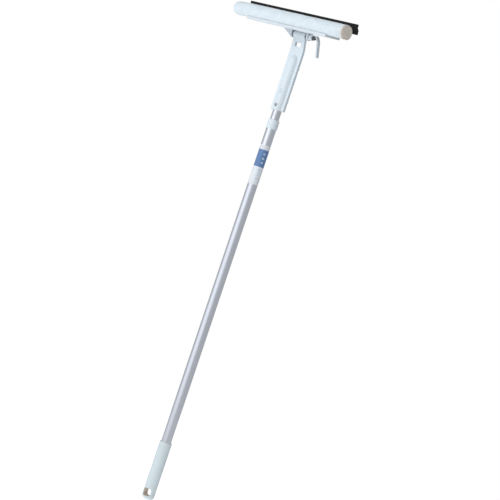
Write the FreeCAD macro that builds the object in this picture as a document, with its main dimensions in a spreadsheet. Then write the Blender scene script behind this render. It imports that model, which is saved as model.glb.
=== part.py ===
"""Telescopic window cleaner: a pole with a snap-on neck and a tilting head.

The head carries a washer pad in front and a rubber squeegee blade behind it.
Frame: +Z runs up the pole to the head, +X along the blade, and the washer pad faces -Y.
The origin is on the pole's axis, at the middle of the grip's plain hand band.
The head's pieces are drawn about the hinge axis and then leaned forward with the neck.
Millimetres throughout.
"""
import FreeCAD, Part
import Sketcher
import os
import re

doc = FreeCAD.newDocument("WindowSqueegee")
sheet = doc.addObject("Spreadsheet::Sheet", "dims")

DIMENSIONS = [
    # handle
    ("grip_length", 128), ("grip_thickness", 2.5), ("grip_end_round", 9), ("grip_rim_round", 1.5),
    ("hold_height", 70), ("ring_count", 8), ("ring_pitch", 4), ("ring_depth", 0.5),
    ("ring_bead", 1.1), ("upper_rings_drop", 44), ("lower_rings_height", 28),
    ("hang_hole_height", 16), ("hang_hole_width", 17), ("hang_hole_tall", 17),
    ("hang_hole_round", 5), ("hang_hole_turn", 15), ("seat_floor", 2.5),
    ("outer_tube_length", 818), ("outer_tube_radius", 11), ("outer_tube_wall", 0.8),
    ("plug_length", 10), ("plug_wall", 4.2), ("plug_floor", 5),
    ("label_drop", 54), ("label_length", 86), ("label_skin", 0.15),
    ("collar_wall", 1.1), ("collar_length", 20), ("collar_lip", 2.5), ("collar_round", 0.8),
    ("bush_length", 40),
    # cross recess of the screws
    ("cross_length", 2.9), ("cross_width", 0.7), ("cross_depth", 0.9),
    # inner pole and twist lock
    ("tube_gap", 0.7), ("inner_tube_wall", 0.8), ("inner_tube_foot", 96),
    ("tube_fit", 0.08), ("lip_gap", 0.35),
    ("spindle_plug_length", 30), ("spindle_flange", 3), ("spindle_length", 27),
    ("jaw_wall", 2.92), ("cam_offset", 0.6), ("cam_fit", 0.1), ("jaw_end_gap", 0.5),
    ("jaw_slot", 3), ("washer_thickness", 2), ("washer_edge_gap", 1.3),
    ("spindle_screw_radius", 1.8), ("spindle_screw_grip", 24), ("spindle_screw_head", 4.5),
    ("spindle_screw_head_tall", 3),
    # neck
    ("neck_gap", 21.5), ("neck_length", 165.5), ("neck_flange", 6.2), ("neck_thickness", 6.7),
    ("neck_taper", 2), ("bend_drop", 37), ("shoulder_drop", 29.5), ("lean", 8),
    ("socket_wall", 2.1), ("socket_drop", 43.5), ("socket_roof", 32),
    ("cover_drop", 53.5), ("cover_flange", 1.85), ("eye_wall", 4.5),
    ("window_width", 16), ("window_tall", 9.7), ("window_drop", 20),
    ("ridge_height", 36), ("ridge_count", 3), ("ridge_pitch", 4), ("ridge_depth", 1.3),
    ("ridge_half_width", 7),
    ("neck_screw_inset", 3.2), ("neck_screw_low", 22), ("neck_screw_drop", 18),
    ("neck_screw_radius", 1.4), ("neck_screw_head", 2.5), ("neck_screw_head_tall", 1.8),
    ("neck_screw_length", 5),
    ("button_height", 10.5), ("button_radius", 3.2), ("button_gap", 0.25),
    ("button_proud", 1.5), ("button_flange_radius", 4), ("button_flange", 1), ("button_step", 1.3),
    ("leaf_thickness", 0.6), ("leaf_width", 6), ("leaf_drop", 26), ("leaf_rise", 4),
    ("leaf_gap", 0.1),
    # hinge and lock lever, along the hinge from the right ear's outer face
    ("pin_radius", 3), ("pin_fit", 0.08), ("pin_reach", 13), ("pin_head_rim", 2.8),
    ("pin_head_tall", 3.6), ("ear_thickness", 4), ("ear_wall", 5),
    ("friction_washer_rim", 2.5), ("friction_washer_thickness", 4.4), ("side_gap", 0.3),
    ("nut_wall", 1.1), ("nut_start", 2.5), ("nut_end", 14.5), ("boss_wall", 2.2), ("boss_gap", 0.4),
    ("boss_end", 9), ("arm_rise", 0.4), ("flute_count", 10), ("flute_radius", 1.5),
    ("flute_depth", 0.75), ("arm_width", 8), ("arm_thickness", 3.3), ("arm_root", 3),
    ("arm_root_thickness", 2.4), ("arm_nut_gap", 1),
    ("arm_shoulder", 20.8), ("arm_shoulder_drop", 0.6), ("arm_elbow", 27.4),
    ("arm_elbow_drop", 5), ("arm_tip", 33.2), ("arm_tip_drop", 38.6), ("arm_bend_round", 6),
    ("arm_tip_round", 1.26),
    # head frame
    ("frame_inset", 40), ("eye_room", 0.5), ("floor_thickness", 4), ("wall_back", 8),
    ("wall_thickness", 4), ("wall_rise", 14.5), ("lip_reach", 8.3), ("lip_thickness", 2.4),
    ("lip_rise", 1), ("lip_crest", 2.3), ("hub_reach", 20.5), ("hub_back", 9), ("frame_round", 1.2),
    ("rib_thickness", 2), ("rib_gap", 0.2), ("rib_drop", 5),
    # blade and its holder
    ("blade_half", 150), ("blade_seat", 4), ("blade_thickness", 2.4), ("blade_stand", 11.5),
    ("blade_edge", 0.7), ("bead_rim", 1), ("bead_lift", 2), ("bead_tall", 3.5),
    ("holder_overhang", 1.6), ("holder_flange", 2), ("holder_tall", 10), ("holder_lift", 2),
    ("clip_thickness", 1.6), ("clip_rise", 3),
    ("holder_screw_inset", 31), ("holder_screw_rise", 6), ("holder_screw_radius", 1.5),
    ("holder_screw_head", 2.8), ("holder_screw_head_tall", 1.8), ("holder_screw_length", 5.4),
    # washer pad
    ("pad_line", 44), ("pad_half_depth", 19), ("pad_half_height", 14.6), ("sleeve_skin", 1.2),
    ("pad_overhang", 2.7), ("core_end", 14.7), ("core_depth", 12), ("core_tall", 8),
    ("post_spread", 60), ("post_radius", 4), ("post_height", 8), ("post_gap", 0.3),
    ("core_screw_radius", 1.5), ("core_screw_head", 3.2), ("core_screw_head_tall", 2),
    ("core_screw_bite", 6),
]
for row, (alias, value) in enumerate(DIMENSIONS, start=1):
    sheet.set(f"A{row}", alias.replace("_", " "))
    sheet.set(f"B{row}", str(value))
    sheet.setAlias(f"B{row}", alias)
doc.recompute()
ALIASES = {alias for alias, _ in DIMENSIONS}

# Radii, each from the outer tube's: what slides in the tube, what sits on it, what locks it.
TUBE_BORE = "(outer_tube_radius - outer_tube_wall)"
GRIP_RADIUS = "(outer_tube_radius + grip_thickness)"
COLLAR_RADIUS = "(outer_tube_radius + collar_wall)"
INNER_RADIUS = f"({TUBE_BORE} - tube_gap)"
INNER_BORE = f"({INNER_RADIUS} - inner_tube_wall)"
JAW_BORE = f"({TUBE_BORE} - tube_fit - jaw_wall)"
CAM_RADIUS = f"({JAW_BORE} - cam_fit - cam_offset)"
SOCKET_RADIUS = f"({INNER_RADIUS} + socket_wall)"
BUTTON_HOLE = "(button_radius + button_gap)"
BUTTON_INSET = f"({INNER_BORE} - button_step)"

# Heights up the pole, from the origin.
GRIP_END = "(-hold_height)"
GRIP_TOP = f"({GRIP_END} + grip_length)"
TUBE_FOOT = f"({GRIP_END} + hang_hole_height + hang_hole_tall / 2 + seat_floor)"
TUBE_TOP = f"({TUBE_FOOT} + outer_tube_length)"
COLLAR_TOP = f"({TUBE_TOP} + collar_lip)"
INNER_FOOT = f"({GRIP_END} + inner_tube_foot)"
SPINDLE_TOP = f"({INNER_FOOT} - spindle_flange)"
SPINDLE_FOOT = f"({SPINDLE_TOP} - spindle_length)"
NECK_FOOT = f"({COLLAR_TOP} + neck_gap)"
BUTTON_Z = f"({NECK_FOOT} + button_height)"
SOCKET_LENGTH = "(neck_length - socket_drop)"
TUBE_IN_NECK = f"({SOCKET_LENGTH} - socket_roof)"
COVER_LENGTH = "(neck_length - cover_drop)"
INNER_TOP = f"({NECK_FOOT} + {TUBE_IN_NECK})"
HINGE_Z = f"({NECK_FOOT} + neck_length)"
HINGE_Y = "(-bend_drop * tan(lean * 1deg))"

# Half widths across the neck and the ears that hold it.
NECK_HALF = f"({SOCKET_RADIUS} + neck_flange)"
NECK_TOP_HALF = f"({NECK_HALF} - neck_taper)"
NECK_SCREW_X = f"({NECK_HALF} - neck_screw_inset)"
EAR_INSIDE = f"({NECK_TOP_HALF} + side_gap + friction_washer_thickness)"
EAR_OUTSIDE = f"({EAR_INSIDE} + ear_thickness)"
HUB_HALF = f"({EAR_OUTSIDE} + hub_reach)"
FRAME_HALF = "(blade_half - frame_inset)"
HOLDER_SCREW_SPREAD = f"({FRAME_HALF} - holder_screw_inset)"
PAD_HALF_LENGTH = "(blade_half + pad_overhang)"
CORE_HALF = f"({PAD_HALF_LENGTH} - core_end)"

# Sizes about the hinge pin.
EYE_RADIUS = "(pin_radius + eye_wall)"
EAR_RADIUS = "(pin_radius + ear_wall)"
PIN_HEAD = "(pin_radius + pin_head_rim)"
NUT_RADIUS = "(pin_radius + nut_wall)"
BOSS_RADIUS = f"({NUT_RADIUS} + boss_wall)"
RIB_SPREAD = f"({PIN_HEAD} + rib_gap + rib_thickness / 2)"

# Heights in the head, from the hinge.
FLOOR_FOOT = f"({EYE_RADIUS} + eye_room)"
FLOOR_TOP = f"({FLOOR_FOOT} + floor_thickness)"
WALL_TOP = f"({FLOOR_TOP} + wall_rise)"
HOLDER_TOP = f"({WALL_TOP} + holder_tall)"
BLADE_TOP = f"({HOLDER_TOP} + blade_stand)"
POST_TOP = f"({FLOOR_TOP} + post_height)"
PAD_Z = f"({FLOOR_TOP} + pad_half_height)"

# Depths in the head, forward from the hinge.
WALL_FRONT = "(wall_back + wall_thickness)"
HOLDER_FRONT = f"({WALL_FRONT} + holder_overhang)"
HOLDER_BACK = "(wall_back - holder_flange)"
BLADE_LINE = f"({HOLDER_FRONT} - blade_seat)"
LIP_FRONT = "(pad_line + pad_half_depth - pad_half_height + lip_reach)"

# Where the screws stand: across and up, and across alone for the pair in the floor.
NECK_SCREWS = [(f"({side} * {NECK_SCREW_X})", f"({NECK_FOOT} + {height})") for side in (-1, 1)
               for height in ("neck_screw_low", f"{COVER_LENGTH} - neck_screw_drop")]
HOLDER_SCREWS = [(f"({step} * {HOLDER_SCREW_SPREAD})", f"({FLOOR_TOP} + holder_screw_rise)")
                 for step in (-1, -0.5, 0.5, 1)]
CORE_SCREWS = [f"({side} * post_spread)" for side in (-1, 1)]

AXIS_TURN = {
    "X": FreeCAD.Rotation(FreeCAD.Vector(0, 1, 0), 90),
    "Y": FreeCAD.Rotation(FreeCAD.Vector(1, 0, 0), -90),
    "Z": FreeCAD.Rotation(),
}
PLANE_ROLE = {"XY": "XY_Plane", "XZ": "XZ_Plane", "YZ": "YZ_Plane"}


def bound(text):
    """Turn sheet names in an expression into references to the sheet's cells."""
    return re.sub(r"[a-z_]+[a-z0-9_]*", lambda m: "dims." + m[0] if m[0] in ALIASES else m[0], text)


def bind(item, **sizes):
    for path, text in sizes.items():
        item.setExpression(path.replace("__", "."), bound(text))
    return item


def at(item, x="0", y="0", z="0"):
    """Bind an object's place to the sheet."""
    return bind(item, Placement__Base__x=x, Placement__Base__y=y, Placement__Base__z=z)


def cylinder(name, radius, length, axis="Z", **place):
    item = doc.addObject("Part::Cylinder", name)
    item.Placement = FreeCAD.Placement(FreeCAD.Vector(), AXIS_TURN[axis])
    bind(item, Radius=radius, Height=length)
    return at(item, **place)


def box(name, size, **place):
    item = doc.addObject("Part::Box", name)
    bind(item, Length=size[0], Width=size[1], Height=size[2])
    return at(item, **place)


def sphere(name, radius, **place):
    item = doc.addObject("Part::Sphere", name)
    bind(item, Radius=radius)
    return at(item, **place)


def cross_recess(x, y, z, axis):
    """Two crossed slots in a screw's head, whose outer face is at that place."""
    slots = []
    for long, wide in (("cross_length", "cross_width"), ("cross_width", "cross_length")):
        if axis == "Y":
            slots.append(box("screw_cross", (long, "2 * cross_depth", wide), x=f"{x} - {long} / 2",
                             y=f"{y} - cross_depth", z=f"{z} - {wide} / 2"))
        else:
            slots.append(box("screw_cross", (long, wide, "2 * cross_depth"), x=f"{x} - {long} / 2",
                             y=f"{y} - {wide} / 2", z=f"{z} - cross_depth"))
    return slots


def fuse(name, *items):
    joined = doc.addObject("Part::MultiFuse", name)
    joined.Shapes = list(items)
    joined.Refine = True
    return joined


def cut(name, base, *tools):
    result = base
    for count, tool in enumerate(tools):
        step = name if count == len(tools) - 1 else f"{name}_step"
        made = doc.addObject("Part::Cut", step)
        made.Base, made.Tool = result, tool
        made.Refine = True
        result = made
    return result


def common(name, first, second):
    shared = doc.addObject("Part::Common", name)
    shared.Base, shared.Tool = first, second
    return shared


def outline(body, name, plane, points):
    """A closed sketch whose corners are held by coordinates bound to the sheet."""
    drawing = body.newObject("Sketcher::SketchObject", name + "_outline")
    origin_planes = body.Origin.OriginFeatures
    support = next(item for item in origin_planes if item.Role == PLANE_ROLE[plane])
    drawing.AttachmentSupport = (support, [""])
    drawing.MapMode = "FlatFace"
    count = len(points)
    step = FreeCAD.Rotation(FreeCAD.Vector(0, 0, 1), -360 / count)
    corner = FreeCAD.Vector(50, 0, 0)
    for _ in points:
        following = step.multVec(corner)
        drawing.addGeometry(Part.LineSegment(corner, following))
        corner = following
    for index in range(count):
        start = drawing.Geometry[index].StartPoint
        drawing.addConstraint(Sketcher.Constraint("Coincident", index, 2, (index + 1) % count, 1))
        for letter, value in (("X", start.x), ("Y", start.y)):
            place = drawing.addConstraint(Sketcher.Constraint("Distance" + letter, index, 1, value))
            drawing.renameConstraint(place, f"{letter.lower()}{index}")
    for index, (across, along) in enumerate(points):
        drawing.setExpression(f"Constraints.x{index}", bound(across))
        drawing.setExpression(f"Constraints.y{index}", bound(along))
    return drawing


def prism(name, plane, points, width, **place):
    """An outline padded equally to both sides of its plane."""
    body = doc.addObject("PartDesign::Body", name)
    drawing = outline(body, name, plane, points)
    pad = body.newObject("PartDesign::Pad", name + "_pad")
    pad.Profile = drawing
    pad.SideType = "Symmetric"
    bind(pad, Length=width)
    at(body, **place)
    doc.recompute()
    return body


def turned(name, points, **place):
    """An outline of radius and height, revolved about the pole's axis."""
    body = doc.addObject("PartDesign::Body", name)
    drawing = outline(body, name, "XZ", points)
    spin = body.newObject("PartDesign::Revolution", name + "_spin")
    spin.Profile = drawing
    spin.ReferenceAxis = (drawing, ["V_Axis"])
    spin.Angle = 360
    at(body, **place)
    doc.recompute()
    return body


def ring(name, inside, outside, foot, top):
    return turned(name, [(inside, foot), (outside, foot), (outside, top), (inside, top)])


def round_edges(body, radius, wanted):
    """Round the edges of a body's last feature that the test picks."""
    base = body.Tip
    names = [f"Edge{i}" for i, edge in enumerate(base.Shape.Edges, start=1) if wanted(edge)]
    rounded = body.newObject("PartDesign::Fillet", f"{body.Name}_round")
    rounded.Base = (base, names)
    bind(rounded, Radius=radius)
    doc.recompute()
    return body


def runs_along(axis):
    """A test for straight edges along one axis."""
    def test(edge):
        if not isinstance(edge.Curve, Part.Line):
            return False
        return abs(abs(edge.Curve.Direction.dot(axis)) - 1) < 1e-6
    return test


def circle_at(height, radius):
    """A test for the full circle of a turned piece at one height and radius."""
    def test(edge):
        if not isinstance(edge.Curve, Part.Circle):
            return False
        high = abs(edge.Curve.Center.z - height) < 1e-6
        return high and abs(edge.Curve.Radius - radius) < 1e-6
    return test


def size_of(text):
    """The present value of an expression, read back through a scratch cell of the sheet."""
    sheet.set("D1", "=" + text)
    doc.recompute()
    value = sheet.get("D1")
    sheet.clear("D1")
    return float(value)


X_WAY = FreeCAD.Vector(1, 0, 0)
Y_WAY = FreeCAD.Vector(0, 1, 0)
Z_WAY = FreeCAD.Vector(0, 0, 1)
FLUTE_START = 72  # degrees, so that the arm's root lies between two flutes
NODES = []


def node(name, item):
    item.Label = name
    NODES.append(item)
    return item


def head_node(name, item):
    """A finished head piece, moved from the hinge axis at the origin to its leaned place."""
    item.Placement = FreeCAD.Placement(FreeCAD.Vector(), FreeCAD.Rotation(X_WAY, 1))
    at(item, y=HINGE_Y, z=HINGE_Z)
    bind(item, Placement__Rotation__Angle="lean * 1deg")
    return node(name, item)


def make_grip():
    solid = turned("grip_solid", [
        ("0", GRIP_END), (GRIP_RADIUS, GRIP_END), (GRIP_RADIUS, GRIP_TOP),
        ("outer_tube_radius", GRIP_TOP), ("outer_tube_radius", TUBE_FOOT), ("0", TUBE_FOOT)])
    radius, end, top = size_of(GRIP_RADIUS), size_of(GRIP_END), size_of(GRIP_TOP)
    round_edges(solid, "grip_end_round", circle_at(end, radius))
    round_edges(solid, "grip_rim_round", circle_at(top, radius))
    tall, wide = "hang_hole_tall / 2", "hang_hole_width / 2"
    hole = prism("hang_hole", "XZ", [
        (f"-{wide}", f"-{tall}"), (wide, f"-{tall}"), (wide, tall), (f"-{wide}", tall)],
        f"4 * {GRIP_RADIUS}")
    round_edges(hole, "hang_hole_round", runs_along(Y_WAY))
    hole.Placement = FreeCAD.Placement(FreeCAD.Vector(), FreeCAD.Rotation(Z_WAY, 1))
    at(hole, z=f"{GRIP_END} + hang_hole_height")
    bind(hole, Placement__Rotation__Angle="hang_hole_turn * 1deg")
    rings = []
    for start in (f"{GRIP_TOP} - upper_rings_drop", f"{GRIP_END} + lower_rings_height"):
        for count in range(round(size_of("ring_count"))):
            groove = doc.addObject("Part::Torus", "grip_groove")
            bind(groove, Radius1=f"{GRIP_RADIUS} + ring_bead - ring_depth", Radius2="ring_bead")
            rings.append(at(groove, z=f"{start} + {count} * ring_pitch"))
    node("grip", cut("grip_body", solid, fuse("grip_tools", hole, *rings)))


def make_outer_tube():
    node("outer_tube", ring("outer_tube", TUBE_BORE, "outer_tube_radius", TUBE_FOOT, TUBE_TOP))
    label_top = f"({TUBE_TOP} - label_drop)"
    node("label_sleeve", ring("label_sleeve", "outer_tube_radius", "outer_tube_radius + label_skin",
                              f"{label_top} - label_length", label_top))
    plug_top, plug_floor = f"{TUBE_FOOT} + plug_length", f"{TUBE_FOOT} + plug_floor"
    recess = f"{TUBE_BORE} - plug_wall"
    node("tube_end_plug", turned("tube_end_plug", [
        ("0", TUBE_FOOT), (TUBE_BORE, TUBE_FOOT), (TUBE_BORE, plug_top),
        (recess, plug_top), (recess, plug_floor), ("0", plug_floor)]))


def make_collar():
    collar_foot = f"({COLLAR_TOP} - collar_length)"
    lip_bore = f"{INNER_RADIUS} + lip_gap"
    collar = turned("collar", [
        ("outer_tube_radius", collar_foot), (COLLAR_RADIUS, collar_foot),
        (COLLAR_RADIUS, COLLAR_TOP), (lip_bore, COLLAR_TOP), (lip_bore, TUBE_TOP),
        ("outer_tube_radius", TUBE_TOP)])
    radius = size_of(COLLAR_RADIUS)
    ends = [circle_at(size_of(height), radius) for height in (collar_foot, COLLAR_TOP)]
    round_edges(collar, "collar_round", lambda edge: any(test(edge) for test in ends))
    node("collar", collar)
    node("guide_bush", ring("guide_bush", f"{INNER_RADIUS} + tube_fit", TUBE_BORE,
                            f"{TUBE_TOP} - bush_length", TUBE_TOP))


def make_twist_lock():
    jaw_foot = f"({SPINDLE_FOOT} + jaw_end_gap)"
    jaw = ring("jaw_ring", JAW_BORE, f"{TUBE_BORE} - tube_fit",
               jaw_foot, f"{SPINDLE_TOP} - jaw_end_gap")
    slot = box("jaw_slot_tool", ("2 * outer_tube_radius", "jaw_slot", "2 * spindle_length"),
               y="-jaw_slot / 2", z=f"{SPINDLE_FOOT} - spindle_length / 2")
    node("lock_jaw", cut("lock_jaw_cut", jaw, slot))
    plug = cylinder("spindle_plug", INNER_BORE, "spindle_plug_length", z=INNER_FOOT)
    flange = cylinder("spindle_flange_disc", INNER_RADIUS, "spindle_flange", z=SPINDLE_TOP)
    cam = cylinder("spindle_cam", CAM_RADIUS, "spindle_length", x="cam_offset", z=SPINDLE_FOOT)
    bore = cylinder("spindle_bore", "spindle_screw_radius", "spindle_screw_grip", z=SPINDLE_FOOT)
    node("cam_spindle", cut("cam_spindle_cut", fuse("cam_spindle_solid", plug, flange, cam), bore))
    washer_foot = f"({SPINDLE_FOOT} - washer_thickness)"
    node("lock_washer", ring("lock_washer", "spindle_screw_radius",
                             f"{TUBE_BORE} - washer_edge_gap", washer_foot, SPINDLE_FOOT))
    shank = cylinder("spindle_screw_shank", "spindle_screw_radius",
                     "spindle_screw_grip + washer_thickness", z=washer_foot)
    head = cylinder("spindle_screw_top", "spindle_screw_head", "spindle_screw_head_tall",
                    z=f"{washer_foot} - spindle_screw_head_tall")
    node("spindle_screw", fuse("spindle_screw_solid", shank, head))


def make_inner_tube():
    tube = ring("inner_tube_ring", INNER_BORE, INNER_RADIUS, INNER_FOOT, INNER_TOP)
    hole = cylinder("tube_button_hole", BUTTON_HOLE, f"2 * {INNER_RADIUS}", "Y",
                    y=f"-2 * {INNER_RADIUS}", z=BUTTON_Z)
    node("inner_tube", cut("inner_tube_cut", tube, hole))


def half_room(name, y):
    """Room about the socket, from one depth backward, to keep one half of what is turned."""
    return box(name, (f"4 * {SOCKET_RADIUS}", f"2 * {SOCKET_RADIUS}", f"2 * {SOCKET_LENGTH}"),
               x=f"-2 * {SOCKET_RADIUS}", y=y, z=NECK_FOOT)


def socket_bulge(name, length):
    """A round shell with a domed top, about the pole's axis."""
    straight = f"({length} - {SOCKET_RADIUS})"
    barrel = cylinder(name + "_barrel", SOCKET_RADIUS, straight, z=NECK_FOOT)
    dome = sphere(name + "_dome", SOCKET_RADIUS, z=f"{NECK_FOOT} + {straight}")
    return fuse(name, barrel, dome)


def neck_screw_row(name, radius, length, y):
    """Four cylinders along +Y, one at each screw of the neck."""
    return [cylinder(name, radius, length, "Y", x=x, y=y, z=z) for x, z in NECK_SCREWS]


def make_neck():
    half, back = "neck_thickness / 2", "(neck_thickness / 2 - cover_flange)"
    bend, cover_top = f"{HINGE_Z} - bend_drop", f"{NECK_FOOT} + {COVER_LENGTH}"
    slab = prism("neck_slab", "YZ", [
        (f"-{half}", NECK_FOOT), (f"-{half}", bend), (f"{HINGE_Y} - {half}", HINGE_Z),
        (f"{HINGE_Y} + {half}", HINGE_Z), (half, bend), (half, cover_top),
        (back, cover_top), (back, NECK_FOOT)], f"2 * {NECK_HALF}")
    shoulder, eye_foot = f"{HINGE_Z} - shoulder_drop", f"{HINGE_Z} - {EYE_RADIUS}"
    face = prism("neck_face", "XZ", [
        (f"-{NECK_HALF}", NECK_FOOT), (NECK_HALF, NECK_FOOT), (NECK_HALF, shoulder),
        (NECK_TOP_HALF, eye_foot), (NECK_TOP_HALF, HINGE_Z), (f"-{NECK_TOP_HALF}", HINGE_Z),
        (f"-{NECK_TOP_HALF}", eye_foot), (f"-{NECK_HALF}", shoulder)], f"4 * {SOCKET_RADIUS}")
    plate = common("neck_plate", slab, face)
    front_room = half_room("front_room", f"-2 * {SOCKET_RADIUS}")
    bulge = common("neck_bulge", socket_bulge("neck_socket", SOCKET_LENGTH), front_room)
    eye = cylinder("neck_eye", EYE_RADIUS, f"2 * {NECK_TOP_HALF}", "X",
                   x=f"-{NECK_TOP_HALF}", y=HINGE_Y, z=HINGE_Z)
    bore = cylinder("neck_bore", INNER_RADIUS, TUBE_IN_NECK, z=NECK_FOOT)
    pin_hole = cylinder("neck_pin_hole", "pin_radius + pin_fit", f"4 * {NECK_TOP_HALF}", "X",
                        x=f"-2 * {NECK_TOP_HALF}", y=HINGE_Y, z=HINGE_Z)
    window = box("neck_window", ("window_width", "4 * neck_thickness", "window_tall"),
                 x="-window_width / 2", y="-2 * neck_thickness",
                 z=f"{HINGE_Z} - window_drop - window_tall / 2")
    button_hole = cylinder("neck_button_hole", BUTTON_HOLE, f"2 * {SOCKET_RADIUS}", "Y",
                           y=f"-2 * {SOCKET_RADIUS}", z=BUTTON_Z)
    ridges = []
    for count in range(round(size_of("ridge_count"))):
        ridges.append(box("thumb_groove", (
            "2 * ridge_half_width", "2 * ridge_depth", "ridge_pitch / 2"),
            x="-ridge_half_width", y=f"-{SOCKET_RADIUS} - ridge_depth",
            z=f"{NECK_FOOT} + ridge_height + {count} * ridge_pitch"))
    screw_holes = neck_screw_row("neck_screw_hole", "neck_screw_radius", "neck_screw_length",
                                 f"{half} - neck_screw_length")
    tools = fuse("neck_tools", bore, pin_hole, window, button_hole, *ridges, *screw_holes)
    node("neck", cut("neck_cut", fuse("neck_solid", plate, bulge, eye), tools))


def make_neck_cover():
    half, back = "neck_thickness / 2", "(neck_thickness / 2 - cover_flange)"
    shell = common("cover_shell", socket_bulge("cover_socket", COVER_LENGTH),
                   half_room("back_room", back))
    flange = box("cover_flanges", (f"2 * {NECK_HALF}", "cover_flange", COVER_LENGTH),
                 x=f"-{NECK_HALF}", y=back, z=NECK_FOOT)
    bore = cylinder("cover_bore", INNER_RADIUS, TUBE_IN_NECK, z=NECK_FOOT)
    holes = neck_screw_row("cover_screw_hole", "neck_screw_radius", "neck_screw_length",
                           f"{half} - neck_screw_length")
    node("neck_cover", cut("neck_cover_cut", fuse("cover_solid", shell, flange),
                           fuse("cover_tools", bore, *holes)))
    shanks = neck_screw_row("neck_screw_shank", "neck_screw_radius", "neck_screw_length",
                            f"{half} - neck_screw_length")
    heads = neck_screw_row("neck_screw_top", "neck_screw_head", "neck_screw_head_tall", half)
    crosses = []
    for x, z in NECK_SCREWS:
        crosses += cross_recess(x, f"({half} + neck_screw_head_tall)", z, "Y")
    node("neck_screws", cut("neck_screws_cut", fuse("neck_screws_group", *shanks, *heads),
                            fuse("neck_screw_crosses", *crosses)))


def make_snap_button():
    tip = f"({SOCKET_RADIUS} + button_proud)"
    stem = cylinder("button_stem", "button_radius", f"{tip} - {BUTTON_INSET}", "Y",
                    y=f"-{tip}", z=BUTTON_Z)
    flange = cylinder("button_foot", "button_flange_radius", "button_flange", "Y",
                      y=f"-{BUTTON_INSET}", z=BUTTON_Z)
    rounding = sphere("button_dome", tip, z=BUTTON_Z)
    node("snap_button", common("snap_button_solid", fuse("button_blank", stem, flange), rounding))
    front = f"({BUTTON_INSET} - button_flange - leaf_gap)"
    high, low = f"{BUTTON_Z} + leaf_rise", f"{BUTTON_Z} - leaf_drop"
    node("button_leaf", prism("button_leaf", "YZ", [
        (f"-{front}", high), (f"-{front}", f"{low} - leaf_thickness"),
        (front, f"{low} - leaf_thickness"), (front, high), (f"{front} - leaf_thickness", high),
        (f"{front} - leaf_thickness", low), (f"-{front} + leaf_thickness", low),
        (f"-{front} + leaf_thickness", high)], "leaf_width"))


def make_hinge():
    shank = cylinder("pin_shank", "pin_radius", f"2 * {EAR_OUTSIDE} + pin_reach", "X",
                     x=f"-{EAR_OUTSIDE}")
    hexagon = doc.addObject("Part::Prism", "pin_hexagon")
    hexagon.Polygon = 6
    hexagon.Placement = FreeCAD.Placement(FreeCAD.Vector(), AXIS_TURN["X"])
    bind(hexagon, Circumradius=PIN_HEAD, Height="pin_head_tall")
    at(hexagon, x=f"-{EAR_OUTSIDE} - pin_head_tall")
    head_node("hinge_pin", fuse("hinge_pin_solid", shank, hexagon))
    for side, name in ((-1, "left"), (1, "right")):
        start = f"-{EAR_INSIDE}" if side < 0 else f"{NECK_TOP_HALF} + side_gap"
        disc = cylinder(f"{name}_washer_disc", "pin_radius + friction_washer_rim",
                        "friction_washer_thickness", "X", x=start)
        hole = cylinder(f"{name}_washer_hole", "pin_radius", "3 * friction_washer_thickness", "X",
                        x=f"{start} - friction_washer_thickness")
        head_node(f"{name}_friction_washer", cut(f"{name}_washer_cut", disc, hole))


def make_lock_lever():
    boss = cylinder("lever_boss", BOSS_RADIUS, "boss_end - side_gap", "X",
                    x=f"{EAR_OUTSIDE} + side_gap")
    inner, root = "arm_thickness", f"({BOSS_RADIUS} + arm_rise)"
    shoulder = f"({BOSS_RADIUS} - arm_shoulder_drop)"
    arm = prism("lever_arm", "XZ", [
        ("arm_root", root), ("arm_shoulder", shoulder), ("arm_elbow", "-arm_elbow_drop"),
        ("arm_tip", "-arm_tip_drop"), (f"arm_tip - {inner}", "-arm_tip_drop"),
        (f"arm_elbow - {inner}", f"-arm_elbow_drop - {inner} / 3"),
        (f"arm_shoulder - {inner} / 2", f"{shoulder} - {inner}"),
        ("nut_end + arm_nut_gap", f"{root} - arm_root_thickness"),
        ("arm_root", f"{root} - arm_root_thickness")], "arm_width", x=EAR_OUTSIDE)
    bends = {round(size_of(x), 4) for x in (
        "arm_shoulder", "arm_elbow", f"arm_elbow - {inner}", f"arm_shoulder - {inner} / 2")}
    tip = size_of("-arm_tip_drop")

    def at_bend(edge):
        return runs_along(Y_WAY)(edge) and round(edge.Vertexes[0].X, 4) in bends

    def at_tip(edge):
        return runs_along(Y_WAY)(edge) and abs(edge.Vertexes[0].Z - tip) < 1e-6

    round_edges(arm, "arm_bend_round", at_bend)
    round_edges(arm, "arm_tip_round", at_tip)
    bore = cylinder("boss_hole", "pin_radius + boss_gap", "boss_end", "X", x=EAR_OUTSIDE)
    pocket = nut_blank("nut_pocket")
    turn = 360 / size_of("flute_count")
    line = f"({BOSS_RADIUS} + flute_radius - flute_depth)"
    flutes = []
    for count in range(round(size_of("flute_count"))):
        angle = count * turn - FLUTE_START
        if 90 - turn < angle < 90 + turn:
            continue
        flutes.append(cylinder("boss_flute_tool", "flute_radius", "2 * boss_end", "X",
                               x=EAR_OUTSIDE, y=f"{line} * cos({angle}deg)",
                               z=f"{line} * sin({angle}deg)"))
    head_node("lock_lever", cut("lock_lever_cut", fuse("lever_solid", boss, arm),
                                fuse("lever_tools", bore, pocket, *flutes)))
    hole = cylinder("nut_hole", "pin_radius + pin_fit", f"2 * {EAR_OUTSIDE} + nut_end", "X")
    head_node("lever_nut", cut("lever_nut_cut", nut_blank("nut_body"), hole))


def nut_blank(name):
    return cylinder(name, NUT_RADIUS, "nut_end - nut_start", "X", x=f"{EAR_OUTSIDE} + nut_start")


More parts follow.
